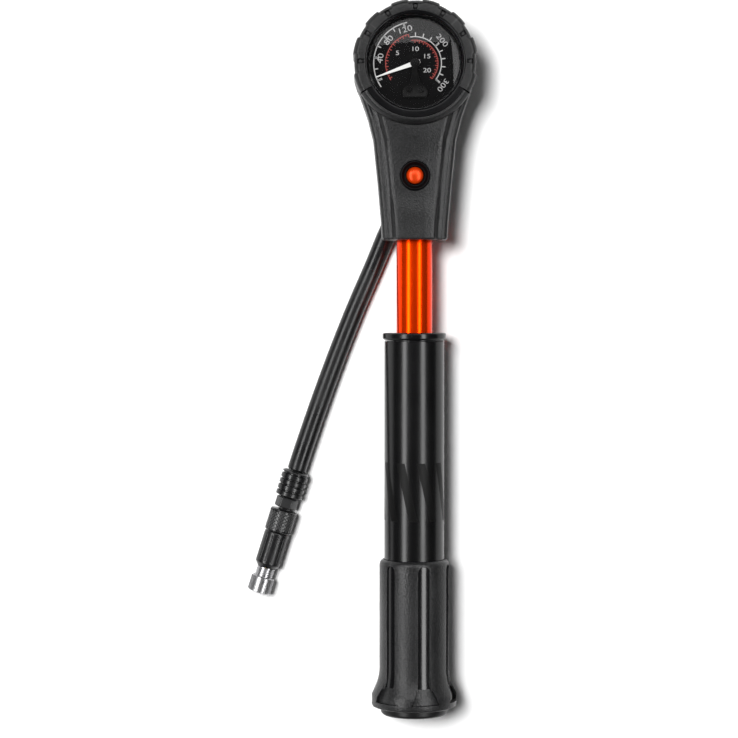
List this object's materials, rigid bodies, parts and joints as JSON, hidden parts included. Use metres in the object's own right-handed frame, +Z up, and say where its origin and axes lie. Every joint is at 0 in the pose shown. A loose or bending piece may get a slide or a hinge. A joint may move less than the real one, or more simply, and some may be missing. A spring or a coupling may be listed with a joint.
{
  "type": "shock suspension pump",
  "caption": "High-pressure hand pump for bicycle suspension: gauge head with bleed button, sliding barrel, turning grip and a swivel hose with a screw-on valve chuck.",
  "frame": {"origin": "on the surface the pump lies on, under the middle of the pump, the free hose and its connector left out", "axes": "+Z up through the gauge face, +Y along the pump from the grip to the gauge head, +X to the right of someone facing the gauge with the head up"},
  "size_m": [0.0962, 0.2972, 0.0356],
  "materials": {
    "moulded_black": "glass-filled moulded nylon, satin",
    "rubber_black": "moulded rubber, matte",
    "gloss_black": "glossy moulded plastic",
    "anodised_black": "glossy black anodised, with darker slanted bars",
    "grip_matte": "fine-grained grip rubber, matte",
    "orange_anodised": "bright orange anodised",
    "orange_button": "orange, satin dome",
    "chrome": "knurled, polished",
    "brass": "machined",
    "steel": "machined",
    "dial_black": "matte black print with white and red scales",
    "pointer_white": "white enamel",
    "clear_lens": "clear polycarbonate, polished",
    "hose_black": "smooth hose rubber, satin"
  },
  "bodies": {
    "head": {"head_shell": "moulded_black", "gauge_bumper": "rubber_black", "gauge_case": "steel", "gauge_socket": "brass", "bourdon_coil": "brass", "gauge_movement": "brass", "dial_plate": "dial_black", "lens_seal": "rubber_black", "gauge_lens": "clear_lens", "lens_ring": "gloss_black", "pointer_bridge": "moulded_black", "bridge_screw_left": "steel", "bridge_screw_right": "steel", "button_ring": "moulded_black", "bleed_seat": "brass", "bleed_spring": "steel", "cylinder_tube": "orange_anodised", "barrel_seal": "rubber_black", "valve_seat": "brass", "cylinder_gland": "brass", "guide_ring": "moulded_black", "swivel_post": "steel"},
    "pointer": {"pointer": "pointer_white", "pointer_shaft": "steel"},
    "bleed_button": {"bleed_button": "orange_button", "bleed_stem": "steel"},
    "check_valve": {"check_poppet": "rubber_black"},
    "piston_seal": {"piston_seal": "rubber_black"},
    "handle": {"piston_head": "moulded_black", "piston_rod": "steel", "rod_screw": "steel", "handle_collar": "anodised_black", "guide_bush": "moulded_black", "handle_tube": "anodised_black", "end_cap": "gloss_black", "grip_core": "gloss_black", "grip_sleeve": "grip_matte"},
    "hose_swivel": {"swivel_banjo": "steel", "swivel_washer": "rubber_black", "hose_ferrule": "moulded_black", "hose": "hose_black", "hose_sleeve": "hose_black", "connector_stem": "moulded_black"},
    "chuck": {"chuck_collar": "moulded_black", "chuck_body": "moulded_black"},
    "chuck_pin": {"depressor_pin": "brass"},
    "chuck_nut": {"chuck_nut": "chrome", "chuck_gasket": "rubber_black"}
  },
  "joints": [
    {"name": "pump_stroke", "type": "slide", "parent": "head", "child": "piston_seal", "axis": [0, -1, 0], "range_m": [-0.0383, 0.0877]},
    {"name": "grip_turn", "type": "hinge", "parent": "piston_seal", "child": "handle", "pos_m": [0, 0, 0.0178], "axis": [0, 1, 0], "continuous": true},
    {"name": "pointer_turn", "type": "hinge", "parent": "head", "child": "pointer", "pos_m": [0, 0.1232, 0.0279], "axis": [0, 0, -1], "range_deg": [0, 238], "stiffness_Nm_per_rad": 0.0001},
    {"name": "bleed_press", "type": "slide", "parent": "head", "child": "bleed_button", "axis": [0, 0, -1], "range_m": [0, 0.002], "stiffness_N_per_m": 600, "springref_m": -0.002, "deforming": ["bleed_spring"]},
    {"name": "check_lift", "type": "slide", "parent": "head", "child": "check_valve", "axis": [0, 1, 0], "range_m": [0, 0.0008], "stiffness_N_per_m": 200, "springref_m": -0.001},
    {"name": "hose_swing", "type": "hinge", "parent": "head", "child": "hose_swivel", "pos_m": [0, 0.0767, 0.0044], "axis": [0, 0, 1], "range_deg": [-110, 2]},
    {"name": "chuck_turn", "type": "hinge", "parent": "hose_swivel", "child": "chuck", "pos_m": [-0.0499, -0.0473, 0.0058], "axis": [-0.299, -0.9542, 0], "range_deg": [0, 540]},
    {"name": "pin_advance", "type": "slide", "parent": "chuck", "child": "chuck_pin", "axis": [-0.299, -0.9542, 0], "range_m": [0, 0.0015]},
    {"name": "nut_turn", "type": "hinge", "parent": "hose_swivel", "child": "chuck_nut", "pos_m": [-0.0499, -0.0473, 0.0058], "axis": [-0.299, -0.9542, 0], "continuous": true}
  ],
  "couplings": [
    {"joint": "pin_advance", "follows": "chuck_turn", "m_per_rad": 0.000159}
  ]
}
